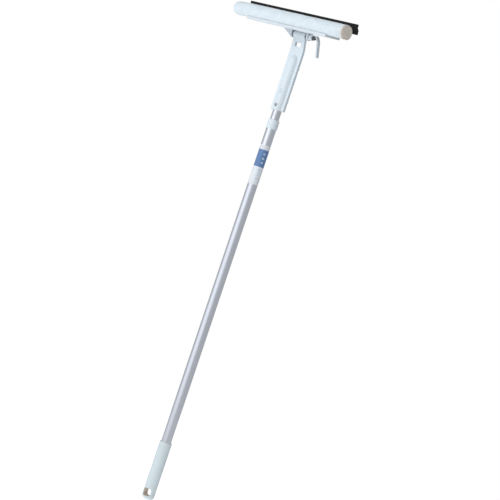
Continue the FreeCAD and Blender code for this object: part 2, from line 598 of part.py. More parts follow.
def make_head_frame():
    lip_inside = f"-{LIP_FRONT} + lip_thickness"
    beam = prism("frame_beam", "YZ", [
        ("-wall_back", FLOOR_FOOT), ("-wall_back", WALL_TOP), (f"-{WALL_FRONT}", WALL_TOP),
        (f"-{WALL_FRONT}", FLOOR_TOP), (lip_inside, FLOOR_TOP),
        (lip_inside, f"{FLOOR_TOP} + lip_rise"), (f"-{LIP_FRONT}", f"{FLOOR_TOP} + lip_crest"),
        (f"-{LIP_FRONT}", FLOOR_FOOT)], f"2 * {FRAME_HALF}")
    foot = size_of(FLOOR_FOOT)
    round_edges(beam, "frame_round",
                lambda edge: runs_along(X_WAY)(edge) and abs(edge.Vertexes[0].Z - foot) < 1e-6)
    hub = box("frame_hub", (f"2 * {HUB_HALF}", f"hub_back + {WALL_FRONT}", "floor_thickness"),
              x=f"-{HUB_HALF}", y=f"-{WALL_FRONT}", z=FLOOR_FOOT)
    pieces = [beam, hub]
    for side in (-1, 1):
        start = EAR_INSIDE if side > 0 else f"-{EAR_OUTSIDE}"
        pieces.append(cylinder("ear_round", EAR_RADIUS, "ear_thickness", "X", x=start))
        pieces.append(box("ear_web", ("ear_thickness", f"2 * {EAR_RADIUS}", FLOOR_TOP),
                          x=start, y=f"-{EAR_RADIUS}"))
        rib_root = f"-{EAR_OUTSIDE} + ear_thickness / 2"
        pieces.append(prism("ear_rib", "XZ", [
            (rib_root, "-rib_drop"), (f"-{HUB_HALF}", FLOOR_FOOT), (f"-{HUB_HALF}", FLOOR_TOP),
            (rib_root, FLOOR_TOP)], "rib_thickness", y=f"{side} * {RIB_SPREAD}"))
    for x in CORE_SCREWS:
        pieces.append(cylinder("pad_post", "post_radius", "post_height", x=x, y="-pad_line",
                               z=FLOOR_TOP))
    pin_hole = cylinder("frame_pin_hole", "pin_radius", f"4 * {EAR_INSIDE}", "X",
                        x=f"-2 * {EAR_INSIDE}")
    holes = [pin_hole] + core_screw_row("frame_screw_hole", "core_screw_radius",
                                        f"{POST_TOP} - {FLOOR_FOOT}", FLOOR_FOOT)
    holes += core_screw_row("frame_screw_seat", "core_screw_head", "core_screw_head_tall",
                            FLOOR_FOOT)
    holes += holder_screw_row("wall_screw_hole", "holder_screw_radius", "holder_screw_length",
                              HOLDER_BACK)
    head_node("head_frame", cut("head_frame_cut", fuse("frame_solid", *pieces),
                                fuse("frame_tools", *holes)))


def core_screw_row(name, radius, length, z):
    return [cylinder(name, radius, length, x=x, y="-pad_line", z=z) for x in CORE_SCREWS]


def holder_screw_row(name, radius, length, start):
    """Four cylinders that run forward, into the frame's wall, from a line behind it."""
    return [cylinder(name, radius, length, "Y", x=x, y=f"-{start} - {length}", z=z)
            for x, z in HOLDER_SCREWS]


def make_blade():
    front, rear = f"(-{BLADE_LINE} - blade_thickness / 2)", f"(-{BLADE_LINE} + blade_thickness / 2)"
    bead_front, bead_rear = f"({front} - bead_rim)", f"({rear} + bead_rim)"
    bead_foot = f"({WALL_TOP} + bead_lift)"
    bead_top = f"({bead_foot} + bead_tall)"
    channel = prism("holder_channel", "YZ", [
        (f"-{HOLDER_FRONT}", WALL_TOP), (f"-{HOLDER_FRONT}", HOLDER_TOP), (front, HOLDER_TOP),
        (front, bead_top), (bead_front, bead_top), (bead_front, bead_foot),
        (bead_rear, bead_foot), (bead_rear, bead_top), (rear, bead_top), (rear, HOLDER_TOP),
        (f"-{HOLDER_BACK}", HOLDER_TOP), (f"-{HOLDER_BACK}", WALL_TOP)], "2 * blade_half")
    flange = box("holder_flange_strip", (f"2 * {FRAME_HALF}", "holder_flange",
                                         f"{WALL_TOP} - {FLOOR_TOP} - holder_lift"),
                 x=f"-{FRAME_HALF}", y="-wall_back", z=f"{FLOOR_TOP} + holder_lift")
    holes = holder_screw_row("holder_screw_hole", "holder_screw_radius", "holder_screw_length",
                             HOLDER_BACK)
    head_node("blade_holder", cut("blade_holder_cut", fuse("holder_solid", channel, flange),
                                  fuse("holder_tools", *holes)))
    head_node("rubber_blade", prism("rubber_blade", "YZ", [
        (bead_front, bead_foot), (bead_front, bead_top), (front, bead_top),
        (front, f"{BLADE_TOP} - blade_edge"), (f"{front} + blade_edge", BLADE_TOP),
        (f"{rear} - blade_edge", BLADE_TOP), (rear, f"{BLADE_TOP} - blade_edge"),
        (rear, bead_top), (bead_rear, bead_top), (bead_rear, bead_foot)], "2 * blade_half"))
    for side, name in ((-1, "left"), (1, "right")):
        start = "blade_half" if side > 0 else "-blade_half - clip_thickness"
        cap = box(f"{name}_clip_cap", (
            "clip_thickness", f"{HOLDER_FRONT} - {HOLDER_BACK}", "holder_tall"),
            x=start, y=f"-{HOLDER_FRONT}", z=WALL_TOP)
        tab = box(f"{name}_clip_tab", ("clip_thickness", "blade_thickness", "clip_rise"),
                  x=start, y=front, z=HOLDER_TOP)
        head_node(f"{name}_blade_clip", fuse(f"{name}_clip_solid", cap, tab))
    shanks = holder_screw_row("holder_screw_shank", "holder_screw_radius", "holder_screw_length",
                              HOLDER_BACK)
    heads = holder_screw_row("holder_screw_top", "holder_screw_head", "holder_screw_head_tall",
                             f"({HOLDER_BACK} - holder_screw_head_tall)")
    crosses = []
    for x, z in HOLDER_SCREWS:
        crosses += cross_recess(x, f"(holder_screw_head_tall - {HOLDER_BACK})", z, "Y")
    head_node("holder_screws", cut("holder_screws_cut", fuse("holder_screws_group", *shanks, *heads),
                                   fuse("holder_screw_crosses", *crosses)))


def stadium(name, half_depth, half_height, foot, top):
    """A long bar of rounded section, two half rounds joined by flats, about the pad's line."""
    flat = f"({half_depth} - {half_height})"
    length = f"({top} - {foot})"
    rounds = [cylinder(name + "_round", half_height, length, "X", x=foot,
                       y=f"-pad_line + {side} * {flat}", z=PAD_Z) for side in (-1, 1)]
    middle = box(name + "_middle", (length, f"2 * {flat}", f"2 * {half_height}"), x=foot,
                 y=f"-pad_line - {flat}", z=f"{PAD_Z} - {half_height}")
    return fuse(name, middle, *rounds)


def make_washer_pad():
    inner_depth, inner_height = "(pad_half_depth - sleeve_skin)", "(pad_half_height - sleeve_skin)"
    closed_end = f"(-{PAD_HALF_LENGTH} + sleeve_skin)"
    screw_length = f"{POST_TOP} - {FLOOR_FOOT} + core_screw_bite"

    def post_room(name):
        return [cylinder(name, "post_radius + post_gap", "post_height", x=x, y="-pad_line",
                         z=FLOOR_TOP) for x in CORE_SCREWS]

    def core_bar(name):
        return box(name, (f"2 * {CORE_HALF}", "core_depth", "core_tall"), x=f"-{CORE_HALF}",
                   y="-pad_line - core_depth / 2", z=POST_TOP)

    screw_holes = core_screw_row("core_screw_hole", "core_screw_radius", screw_length,
                                 FLOOR_FOOT)
    head_node("pad_core", cut("pad_core_cut", core_bar("core_blank"),
                              fuse("core_tools", *screw_holes)))
    sponge = stadium("sponge_bar", inner_depth, inner_height, closed_end, PAD_HALF_LENGTH)
    head_node("sponge_pad", cut("sponge_pad_cut", sponge,
                                fuse("sponge_tools", core_bar("core_room"), *post_room("post_room"))))
    cloth = stadium("sleeve_bar", "pad_half_depth", "pad_half_height",
                    f"(-{PAD_HALF_LENGTH})", PAD_HALF_LENGTH)
    filling = stadium("sleeve_room", inner_depth, inner_height, closed_end,
                      f"2 * {PAD_HALF_LENGTH}")
    head_node("pad_sleeve", cut("pad_sleeve_cut", cloth,
                                fuse("sleeve_tools", filling, *post_room("sleeve_post_room"))))
    shanks = core_screw_row("core_screw_shank", "core_screw_radius", screw_length, FLOOR_FOOT)
    heads = core_screw_row("core_screw_top", "core_screw_head", "core_screw_head_tall",
                           FLOOR_FOOT)
    crosses = []
    for x in CORE_SCREWS:
        crosses += cross_recess(x, "-pad_line", FLOOR_FOOT, "Z")
    head_node("core_screws", cut("core_screws_cut", fuse("core_screws_group", *shanks, *heads),
                                 fuse("core_screw_crosses", *crosses)))


make_grip()
make_outer_tube()
make_collar()
make_twist_lock()
make_inner_tube()
make_neck()
make_neck_cover()
make_snap_button()
make_hinge()
make_lock_lever()
make_head_frame()
make_blade()
make_washer_pad()
doc.recompute()

for item in doc.Objects:
    if "Invalid" in item.State or "Error" in item.State:
        raise RuntimeError(f"{item.Name} failed: {item.State}")
os.makedirs("parts", exist_ok=True)
for item in NODES:
    shape = item.Shape
    if shape.isNull() or not shape.isValid():
        raise RuntimeError(f"{item.Label} has no valid shape")
for item in NODES:
    item.Shape.exportStep(os.path.join("parts", f"{item.Label}.step"))
    box_now = item.Shape.BoundBox
    print(f"{item.Label}: {len(item.Shape.Solids)} solid, {item.Shape.Volume:.1f} mm3, "
          f"z {box_now.ZMin:.1f} to {box_now.ZMax:.1f}")
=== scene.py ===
"""Looks for a telescopic window cleaner: materials, the soft washer pad, the light and the camera.

Metres, in the part's own frame: +Z up the pole, +X along the blade, -Y to the washer pad's side.
"""
import math

import bmesh
import bpy
from mathutils import Matrix, Quaternion, Vector, noise


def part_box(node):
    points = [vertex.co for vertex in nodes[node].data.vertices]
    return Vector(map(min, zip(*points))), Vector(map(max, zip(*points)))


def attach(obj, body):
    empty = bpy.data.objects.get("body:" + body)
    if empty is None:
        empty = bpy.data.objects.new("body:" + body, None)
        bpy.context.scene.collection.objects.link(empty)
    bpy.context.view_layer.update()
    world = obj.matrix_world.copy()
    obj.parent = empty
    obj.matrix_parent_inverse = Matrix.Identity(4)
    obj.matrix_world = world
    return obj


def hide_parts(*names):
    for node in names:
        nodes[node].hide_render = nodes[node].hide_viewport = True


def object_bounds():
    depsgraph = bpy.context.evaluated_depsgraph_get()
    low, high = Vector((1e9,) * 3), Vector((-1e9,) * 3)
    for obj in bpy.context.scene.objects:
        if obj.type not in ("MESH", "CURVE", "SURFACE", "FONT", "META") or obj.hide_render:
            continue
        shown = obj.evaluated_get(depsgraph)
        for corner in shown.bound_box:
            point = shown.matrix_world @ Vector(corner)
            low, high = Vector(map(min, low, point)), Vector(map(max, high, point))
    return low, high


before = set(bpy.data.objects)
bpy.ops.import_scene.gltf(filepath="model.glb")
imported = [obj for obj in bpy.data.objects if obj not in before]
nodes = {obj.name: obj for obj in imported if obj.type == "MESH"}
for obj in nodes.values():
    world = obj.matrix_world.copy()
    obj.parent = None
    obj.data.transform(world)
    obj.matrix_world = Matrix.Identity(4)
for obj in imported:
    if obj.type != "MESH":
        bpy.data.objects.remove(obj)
cad_low, cad_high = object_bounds()
scene = bpy.context.scene

MM = 0.001
LEAN = math.radians(8)  # how far the head leans forward of the pole
PIN_LOW, PIN_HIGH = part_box("left_friction_washer")
HINGE = Vector((0, (PIN_LOW.y + PIN_HIGH.y) / 2, (PIN_LOW.z + PIN_HIGH.z) / 2))
HEAD_TURN = Matrix.Translation(HINGE) @ Matrix.Rotation(LEAN, 4, "X")

# The washer pad, in the head's own upright axes from the hinge.
SLEEVE_LOW, SLEEVE_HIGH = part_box("pad_sleeve")
PAD_HALF_LENGTH = (SLEEVE_HIGH.x - SLEEVE_LOW.x) / 2
PAD_HALF_DEPTH, PAD_HALF_HEIGHT = 19 * MM, 14.6 * MM
PAD_CENTRE = HEAD_TURN.inverted() @ ((SLEEVE_LOW + SLEEVE_HIGH) / 2)
PAD_TURN = HEAD_TURN @ Matrix.Translation(PAD_CENTRE)
FRAME_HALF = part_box("head_frame")[1].x
FLOOR_BELOW = -PAD_HALF_HEIGHT  # the frame's floor, from the pad's own centre


# ---------------------------------------------------------------- shader building

def linear(*rgb):
    """A colour given as 0 to 255 on a screen, for a shader socket."""
    def one(value):
        value /= 255
        return value / 12.92 if value <= 0.04045 else ((value + 0.055) / 1.055) ** 2.4
    return (one(rgb[0]), one(rgb[1]), one(rgb[2]), 1.0)


class Shader:
    """A material being built: its node tree, with short ways to add nodes."""

    def __init__(self, name, roughness=0.4, metallic=0.0, specular=0.5, **fixed):
        self.material = bpy.data.materials.new(name)
        self.material.use_nodes = True
        self.tree = self.material.node_tree
        self.surface = self.tree.nodes["Principled BSDF"]
        self.surface.inputs["Roughness"].default_value = roughness
        self.surface.inputs["Metallic"].default_value = metallic
        self.surface.inputs["Specular IOR Level"].default_value = specular
        for socket, value in fixed.items():
            self.surface.inputs[socket.replace("_", " ")].default_value = value
        self.place = self.add("ShaderNodeTexCoord").outputs["Object"]

    @classmethod
    def of(cls, material):
        """Go on building a material that was made before."""
        made = cls.__new__(cls)
        made.material, made.tree = material, material.node_tree
        made.surface = made.tree.nodes["Principled BSDF"]
        made.place = made.tree.nodes["Texture Coordinate"].outputs["Object"]
        return made

    def add(self, kind, **settings):
        made = self.tree.nodes.new(kind)
        for name, value in settings.items():
            setattr(made, name, value)
        return made

    def feed(self, socket, value):
        if isinstance(value, bpy.types.NodeSocket):
            self.tree.links.new(value, socket)
        else:
            socket.default_value = value

    def math(self, operation, first, second=0.0, third=None):
        made = self.add("ShaderNodeMath", operation=operation)
        self.feed(made.inputs[0], first)
        self.feed(made.inputs[1], second)
        if third is not None:
            self.feed(made.inputs[2], third)
        return made.outputs[0]

    def axes(self):
        """The object's own x, y and z, as three sockets."""
        split = self.add("ShaderNodeSeparateXYZ")
        self.tree.links.new(self.place, split.inputs[0])
        return split.outputs

    def stretched(self, x, y, z):
        """The object's own coordinates, scaled along each axis."""
        mapping = self.add("ShaderNodeMapping")
        self.tree.links.new(self.place, mapping.inputs["Vector"])
        mapping.inputs["Scale"].default_value = (x, y, z)
        return mapping.outputs["Vector"]

    def noise(self, scale, detail=4.0, roughness=0.5, vector=None):
        made = self.add("ShaderNodeTexNoise")
        self.tree.links.new(vector or self.place, made.inputs["Vector"])
        made.inputs["Scale"].default_value = scale
        made.inputs["Detail"].default_value = detail
        made.inputs["Roughness"].default_value = roughness
        return made.outputs["Fac"]

    def cells(self, scale):
        made = self.add("ShaderNodeTexVoronoi", feature="F1")
        self.tree.links.new(self.place, made.inputs["Vector"])
        made.inputs["Scale"].default_value = scale
        return made.outputs["Distance"]

    def ramp(self, factor, *stops):
        """A colour ramp; each stop is a place and a colour."""
        made = self.add("ShaderNodeValToRGB")
        self.tree.links.new(factor, made.inputs["Fac"])
        elements = made.color_ramp.elements
        while len(elements) < len(stops):
            elements.new(0.5)
        for element, (place, colour) in zip(elements, stops):
            element.position, element.color = place, colour
        return made.outputs["Color"]

    def remap(self, value, low, high, to_low, to_high):
        made = self.add("ShaderNodeMapRange")
        self.feed(made.inputs["Value"], value)
        for name, number in (("From Min", low), ("From Max", high),
                             ("To Min", to_low), ("To Max", to_high)):
            made.inputs[name].default_value = number
        return made.outputs["Result"]

    def mix(self, factor, first, second):
        made = self.add("ShaderNodeMix", data_type="RGBA")
        self.feed(made.inputs["Factor"], factor)
        self.feed(made.inputs["A"], first)
        self.feed(made.inputs["B"], second)
        return made.outputs["Result"]

    def colour(self, value):
        self.feed(self.surface.inputs["Base Color"], value)
        return self

    def rough(self, value):
        self.feed(self.surface.inputs["Roughness"], value)
        return self

    def bump(self, height, distance, strength=1.0):
        """Adds one layer of relief; the distance is its depth in metres."""
        made = self.add("ShaderNodeBump")
        made.inputs["Distance"].default_value = distance
        made.inputs["Strength"].default_value = strength
        self.tree.links.new(height, made.inputs["Height"])
        normal = self.surface.inputs["Normal"]
        if normal.links:
            self.tree.links.new(normal.links[0].from_socket, made.inputs["Normal"])
        self.tree.links.new(made.outputs["Normal"], normal)
        return self


# ---------------------------------------------------------------- materials

# Scales of the noise and the cells are per metre; depths of relief are in metres.
FLOW_MARKS, GLOSS_PATCHES, MOULD_GRAIN, MOULD_WAVES = 26, 140, 2600, 60
FLOW_STRETCH = (1, 1, 0.35)
GLOSS_SPREAD = 0.06


def moulded(name, base, roughness=0.42, grain=0.00002, variation=5, specular=0.45):
    """Moulded plastic: flow marks in its tone, a fine grain, and slight uneven gloss."""
    made = Shader(name, roughness=roughness, specular=specular)
    darker = linear(*(c - variation for c in base))
    lighter = linear(*(min(255, c + variation) for c in base))
    flow = made.noise(FLOW_MARKS, detail=5, roughness=0.6, vector=made.stretched(*FLOW_STRETCH))
    made.colour(made.ramp(flow, (0.3, darker), (0.7, lighter)))
    made.rough(made.remap(made.noise(GLOSS_PATCHES, detail=3), 0.3, 0.7,
                          roughness - GLOSS_SPREAD, roughness + GLOSS_SPREAD))
    made.bump(made.noise(MOULD_GRAIN, detail=2), grain)
    made.bump(made.noise(MOULD_WAVES, detail=2), grain * 4, strength=0.5)
    return made.material


# What lies nearer the pole's axis than the depth, and above the foot, is inside the hang hole;
# there a warm tone is painted on as the shade inside the hole.
HOLE_DEPTH, HOLE_FOOT = 12.8 * MM, cad_low.z + 6.3 * MM
HOLE_MOTTLE = 240


def grip_plastic():
    """The grip's satin plastic; the walls of its hanging hole get a warm, mottled tone painted on
    as the shade inside the hole.
    """
    material = moulded("grip_plastic", (198, 210, 215), roughness=0.5, grain=0.00004)
    made = Shader.of(material)
    x, y, z = made.axes()
    from_axis = made.math("SQRT", made.math("ADD", made.math("POWER", x, 2.0),
                                            made.math("POWER", y, 2.0)))
    inside = made.math("MULTIPLY", made.math("LESS_THAN", from_axis, HOLE_DEPTH),
                       made.math("GREATER_THAN", z, HOLE_FOOT))
    base = made.surface.inputs["Base Color"].links[0].from_socket
    # painted shade: the hole's walls take this warm tone for the shade that falls inside the hole
    painted_hole_shade = made.mix(made.noise(HOLE_MOTTLE, detail=4), linear(208, 198, 188),
                    linear(224, 214, 203))
    made.colour(made.mix(inside, base, painted_hole_shade))
    return material


DRAW_LINES, TUBE_BANDS, RUB_MARKS, ANODISED_GRAIN = 900, 45, 300, 1800
LINE_DEPTH, ANODISED_DEPTH = 0.000006, 0.000004
LINE_SHARE = 0.65  # how much of the tone comes from the drawn lines; the rest is the bands


def drawn_aluminium(name, base, roughness, wear=0.0):
    """Anodised drawn tube: fine lines along its length, faint banding round it, handling marks."""
    made = Shader(name, roughness=roughness, metallic=1.0)
    lines = made.noise(DRAW_LINES, detail=3, roughness=0.65,
                       vector=made.stretched(1, 1, 0.012))
    bands = made.noise(TUBE_BANDS, detail=2, vector=made.stretched(0.2, 0.2, 1))
    darker = linear(*(c - 10 for c in base))
    blend = made.math("MULTIPLY_ADD", bands, 1 - LINE_SHARE,
                      made.math("MULTIPLY", lines, LINE_SHARE))
    made.colour(made.ramp(blend, (0.3, darker), (0.7, linear(*base))))
    rubbed = made.noise(RUB_MARKS, detail=5, roughness=0.7, vector=made.stretched(1, 1, 0.05))
    made.rough(made.remap(made.math("MULTIPLY_ADD", rubbed, wear, lines), 0.3, 0.9 + wear,
                          roughness - 0.06, roughness + 0.1))
    made.bump(lines, LINE_DEPTH)
    made.bump(made.noise(ANODISED_GRAIN, detail=2), ANODISED_DEPTH)
    return made.material


PLATE_MOTTLE, PLATE_GRAIN, PLATE_DEPTH = 420, 3200, 0.000012


def turned_metal(name, base, roughness):
    """Plated metal: a fine grain and a slightly mottled coat."""
    made = Shader(name, roughness=roughness, metallic=1.0)
    mottle = made.noise(PLATE_MOTTLE, detail=4, roughness=0.6)
    made.colour(made.ramp(mottle, (0.3, linear(*(c - 22 for c in base))), (0.7, linear(*base))))
    made.rough(made.remap(mottle, 0.3, 0.7, roughness - 0.08, roughness + 0.08))
    made.bump(made.noise(PLATE_GRAIN, detail=2), PLATE_DEPTH)
    return made.material


DRAG_LINES, DRAG_DEPTH, RUBBER_DUST = 1100, 0.00003, 90


def black_rubber():
    """Moulded rubber strip: dull, with drag lines along it and greyer, dusty patches."""
    made = Shader("squeegee_rubber", roughness=0.55, specular=0.25)
    drag = made.noise(DRAG_LINES, detail=3, vector=made.stretched(0.03, 1, 1))
    dust = made.noise(RUBBER_DUST, detail=5, roughness=0.65)
    made.colour(made.ramp(dust, (0.35, linear(14, 14, 16)), (0.75, linear(27, 27, 30))))
    made.rough(made.remap(drag, 0.3, 0.7, 0.45, 0.62))
    made.bump(drag, DRAG_DEPTH)
    return made.material


NAP, TUFTS, FIBRES = 75, 900, 2400
NAP_DEPTH, TUFT_DEPTH, FIBRE_DEPTH = 0.0004, 0.00035, 0.00012


def pile_fabric():
    """Short white pile: looped tufts, with painted shade in the hollows between them, and a nap
    that turns in soft patches.
    """
    made = Shader("washer_fabric", roughness=0.92, specular=0.15, Sheen_Weight=0.35,
                  Sheen_Roughness=0.5)
    nap = made.noise(NAP, detail=4, roughness=0.6)
    tufts = made.cells(TUFTS)
    fibre = made.noise(FIBRES, detail=3, roughness=0.7)
    # painted shade: the colour darkens towards the edges of the tuft cells, in the hollows between
    # the tufts
    shade = made.math("MULTIPLY_ADD", tufts, -0.35, made.math("MULTIPLY_ADD", fibre, 0.3, nap))
    made.colour(made.ramp(shade, (0.2, linear(211, 223, 231)), (0.55, linear(223, 234, 242)),
                          (0.9, linear(231, 240, 246))))
    made.bump(made.math("SUBTRACT", 1.0, tufts), TUFT_DEPTH, strength=0.7)
    made.bump(fibre, FIBRE_DEPTH, strength=0.8)
    made.bump(nap, NAP_DEPTH, strength=0.4)
    return made.material


PORES, COARSE_PORES, FOAM_TONE, FOAM_GRAIN = 620, 260, 70, 1500
PORE_DEPTH, FOAM_GRAIN_DEPTH = 0.0006, 0.00015


def open_foam():
    """Grey-beige open-cell foam, cut across its cells, with painted shade in the pits of its
    pores.
    """
    made = Shader("sponge_foam", roughness=0.95, specular=0.1)
    pores = made.cells(PORES)
    coarse = made.cells(COARSE_PORES)
    tone = made.noise(FOAM_TONE, detail=4)
    pit = made.math("MULTIPLY", made.remap(pores, 0.12, 0.5, 0.0, 1.0),
                    made.remap(coarse, 0.08, 0.4, 0.35, 1.0))
    base = made.mix(tone, linear(236, 227, 217), linear(248, 241, 232))
    # painted shade: the pits of the pores get the darker colour
    made.colour(made.mix(made.math("SUBTRACT", 1.0, pit), base, linear(200, 190, 179)))
    made.bump(pit, PORE_DEPTH, strength=0.9)
    made.bump(made.noise(FOAM_GRAIN, detail=3), FOAM_GRAIN_DEPTH)
    return made.material


# The label's print: where its column of marks faces, and heights from the label's foot.
MARKS_TURN = math.radians(60)
BLUE_FOOT, BLUE_TOP = 38.5 * MM, 76 * MM
DISCS = [(66.7 * MM, 2.1 * MM), (57.2 * MM, 2.3 * MM), (47.9 * MM, 2.1 * MM)]  # height, radius
LINE_LEVELS = [30 * MM, 25.5 * MM, 21 * MM, 13 * MM]
LINE_HALF_WIDE, LINE_HALF_TALL = 2.6 * MM, 0.55 * MM
SQUARE_LEVEL, SQUARE_HALF, SQUARE_OFFSET = LINE_LEVELS[0] + 3.6 * MM, 1.4 * MM, -1.0 * MM
STRIPE_LEVELS, STRIPE_TALL = (BLUE_TOP + 3.2 * MM, BLUE_TOP + 6.4 * MM), 0.5 * MM
PAPER_MOTTLE, INK_MOTTLE, FILM_GRAIN, FILM_DEPTH = 60, 110, 500, 0.00001


def printed_label():
    """Film label: white, with a blue block and a column of plain marks; no lettering."""
    made = Shader("label_print", roughness=0.24, specular=0.6, Coat_Weight=0.4,
                  Coat_Roughness=0.12)
    low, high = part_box("label_sleeve")
    x, y, z = made.axes()
    height = made.math("SUBTRACT", z, low.z)
    turn = made.math("ARCTAN2", x, made.math("MULTIPLY", y, -1.0))
    across = made.math("MULTIPLY", made.math("SUBTRACT", turn, MARKS_TURN), high.x)

    def between(value, bottom, top):
        return made.math("MULTIPLY", made.math("GREATER_THAN", value, bottom),
                         made.math("LESS_THAN", value, top))

    def disc(level, size):
        squares = made.math("ADD", made.math("POWER", across, 2.0), made.math(
            "POWER", made.math("SUBTRACT", height, level), 2.0))
        return made.math("LESS_THAN", squares, size * size)

    def bar(level, half_wide, half_tall, offset=0.0):
        wide = made.math("ABSOLUTE", made.math("SUBTRACT", across, offset))
        tall = made.math("ABSOLUTE", made.math("SUBTRACT", height, level))
        return made.math("MULTIPLY", made.math("LESS_THAN", wide, half_wide),
                         made.math("LESS_THAN", tall, half_tall))

    paper = made.mix(made.noise(PAPER_MOTTLE, detail=3), linear(214, 219, 228),
                     linear(230, 234, 241))
    ink = made.mix(made.noise(INK_MOTTLE, detail=4), linear(76, 112, 163), linear(96, 134, 182))
    picture = made.mix(between(height, BLUE_FOOT, BLUE_TOP), paper, ink)
    for level, size in DISCS:
        picture = made.mix(disc(level, size), picture, linear(214, 226, 238))
        picture = made.mix(disc(level, size * 0.5), picture, ink)
    for level in LINE_LEVELS:
        picture = made.mix(bar(level, LINE_HALF_WIDE, LINE_HALF_TALL), picture,
                           linear(150, 190, 205))
    picture = made.mix(bar(SQUARE_LEVEL, SQUARE_HALF, SQUARE_HALF, SQUARE_OFFSET), picture,
                       linear(170, 200, 216))
    for level in STRIPE_LEVELS:
        picture = made.mix(between(height, level, level + STRIPE_TALL), picture,
                           linear(196, 198, 206))
    made.colour(picture)
    made.bump(made.noise(FILM_GRAIN, detail=3), FILM_DEPTH)
    return made.material


# ---------------------------------------------------------------- mesh helpers

def new_object(name, mesh, material, body, smooth=True):
    made = bpy.data.objects.new(name, mesh)
    scene.collection.objects.link(made)
    mesh.materials.clear()
    mesh.materials.append(material)
    if smooth:
        mesh.shade_smooth()
    if body:
        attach(made, body)
    return made


def apply_modifiers(obj):
    """Bake the object's modifiers into its mesh."""
    graph = bpy.context.evaluated_depsgraph_get()
    baked = bpy.data.meshes.new_from_object(obj.evaluated_get(graph))
    obj.modifiers.clear()
    obj.data = baked


def remesh(obj, voxel):
    """Give the object's mesh small faces of one even size."""
    modifier = obj.modifiers.new("remesh", "REMESH")
    modifier.mode = "VOXEL"
    modifier.voxel_size = voxel
    apply_modifiers(obj)


def section(half_depth, half_height, count):
    """Points round a bar's section: two half rounds joined by flats, evenly spaced."""
    flat = half_depth - half_height
    arc = math.pi * half_height
    girth = 2 * arc + 4 * flat
    points = []
    for step in range(count):
        along = step / count * girth
        if along < 2 * flat:
            points.append((-flat + along, half_height))
        elif along < 2 * flat + arc:
            turn = (along - 2 * flat) / half_height
            points.append((flat + half_height * math.sin(turn), half_height * math.cos(turn)))
        elif along < 4 * flat + arc:
            points.append((flat - (along - 2 * flat - arc), -half_height))
        else:
            turn = (along - 4 * flat - arc) / half_height
            points.append((-flat - half_height * math.sin(turn), -half_height * math.cos(turn)))
    return points


def lofted(name, stations, count):
    """A closed skin through sections at stations of (x, half depth, half height, rise)."""
    mesh = bpy.data.meshes.new(name)
    work = bmesh.new()
    rings = []
    for x, half_depth, half_height, rise in stations:
        rings.append([work.verts.new((x, y, z + rise))
                      for y, z in section(half_depth, half_height, count)])
    for one, two in zip(rings, rings[1:]):
        for i in range(count):
            j = (i + 1) % count
            work.faces.new((one[i], one[j], two[j], two[i]))
    for ring in (rings[0], rings[-1]):
        middle = Vector((0, 0, 0))
        for corner in ring:
            middle += corner.co / len(ring)
        tip = work.verts.new(middle)
        for i in range(count):
            work.faces.new((ring[i], ring[(i + 1) % count], tip))
    bmesh.ops.recalc_face_normals(work, faces=work.faces)
    work.to_mesh(mesh)
    work.free()
    return mesh


def ring_along(name, points, radius):
    """A round roll that runs through the points and back to the first."""
    curve = bpy.data.curves.new(name, "CURVE")
    curve.dimensions = "3D"
    curve.bevel_depth = radius
    curve.bevel_resolution = 3
    spline = curve.splines.new("POLY")
    spline.points.add(len(points) - 1)
    for point, place in zip(spline.points, points):
        point.co = (*place, 1)
    spline.use_cyclic_u = True
    made = bpy.data.objects.new(name, curve)
    scene.collection.objects.link(made)
    graph = bpy.context.evaluated_depsgraph_get()
    mesh = bpy.data.meshes.new_from_object(made.evaluated_get(graph))
    bpy.data.objects.remove(made)
    return mesh


# ---------------------------------------------------------------- washer pad

SLEEVE_SKIN = 1.1 * MM
SLEEVE_END = PAD_HALF_LENGTH - 4.4 * MM  # the hem, short of the sponge's end
SLEEVE_ROUND = 8 * MM  # the rounding of its sewn end
ROUND_STEPS, BAR_STEPS, SLEEVE_SIDES = 6, 60, 48
SLEEVE_VOXEL = 3.5 * MM
CLOTH_START = 0.3 * MM  # the form starts this much smaller, and swells
CLOTH_CAP = 0.9 * MM  # the furthest that the simulation moves a point
CLOTH_FRAMES = 20
CLOTH_STIFFNESS, CLOTH_BENDING, CLOTH_PRESSURE, CLOTH_MASS = 8, 0.2, 30, 0.15
HELD_AT_HEM, HELD_ABOVE_FLOOR = 6 * MM, 2.2 * MM  # how far the held zones reach
FLOOR_HOLD = 0.6


def swell_cloth(obj):
    """Let the closed sleeve swell under pressure, held at its seam and hem."""
    rest = [v.co.copy() for v in obj.data.vertices]
    held = obj.vertex_groups.new(name="held")
    for vertex in obj.data.vertices:
        x, _, z = vertex.co
        at_hem = abs(x) > SLEEVE_END - HELD_AT_HEM
        on_floor = z < FLOOR_BELOW + HELD_ABOVE_FLOOR
        held.add([vertex.index], 1.0 if at_hem else FLOOR_HOLD if on_floor else 0.0, "REPLACE")
    cloth = obj.modifiers.new("cloth", "CLOTH")
    settings = cloth.settings
    settings.quality = 6
    settings.mass = CLOTH_MASS
    settings.tension_stiffness = settings.compression_stiffness = CLOTH_STIFFNESS
    settings.bending_stiffness = CLOTH_BENDING
    settings.use_pressure = True
    settings.uniform_pressure_force = CLOTH_PRESSURE
    settings.effector_weights.gravity = 0
    settings.vertex_group_mass = "held"
    cloth.collision_settings.use_collision = False
    for step in range(1, CLOTH_FRAMES + 1):
        scene.frame_set(step)
    graph = bpy.context.evaluated_depsgraph_get()
    swollen = [v.co.copy() for v in obj.evaluated_get(graph).data.vertices]
    obj.modifiers.clear()
    scene.frame_set(1)
    outward = [v.normal.copy() for v in obj.data.vertices]
    for vertex, start, end, out in zip(obj.data.vertices, rest, swollen, outward):
        move = end - start
        move -= out * min(0.0, move.dot(out))  # the sponge inside lets nothing sink
        if move.length > CLOTH_CAP:
            move *= CLOTH_CAP / move.length
        vertex.co = start + move


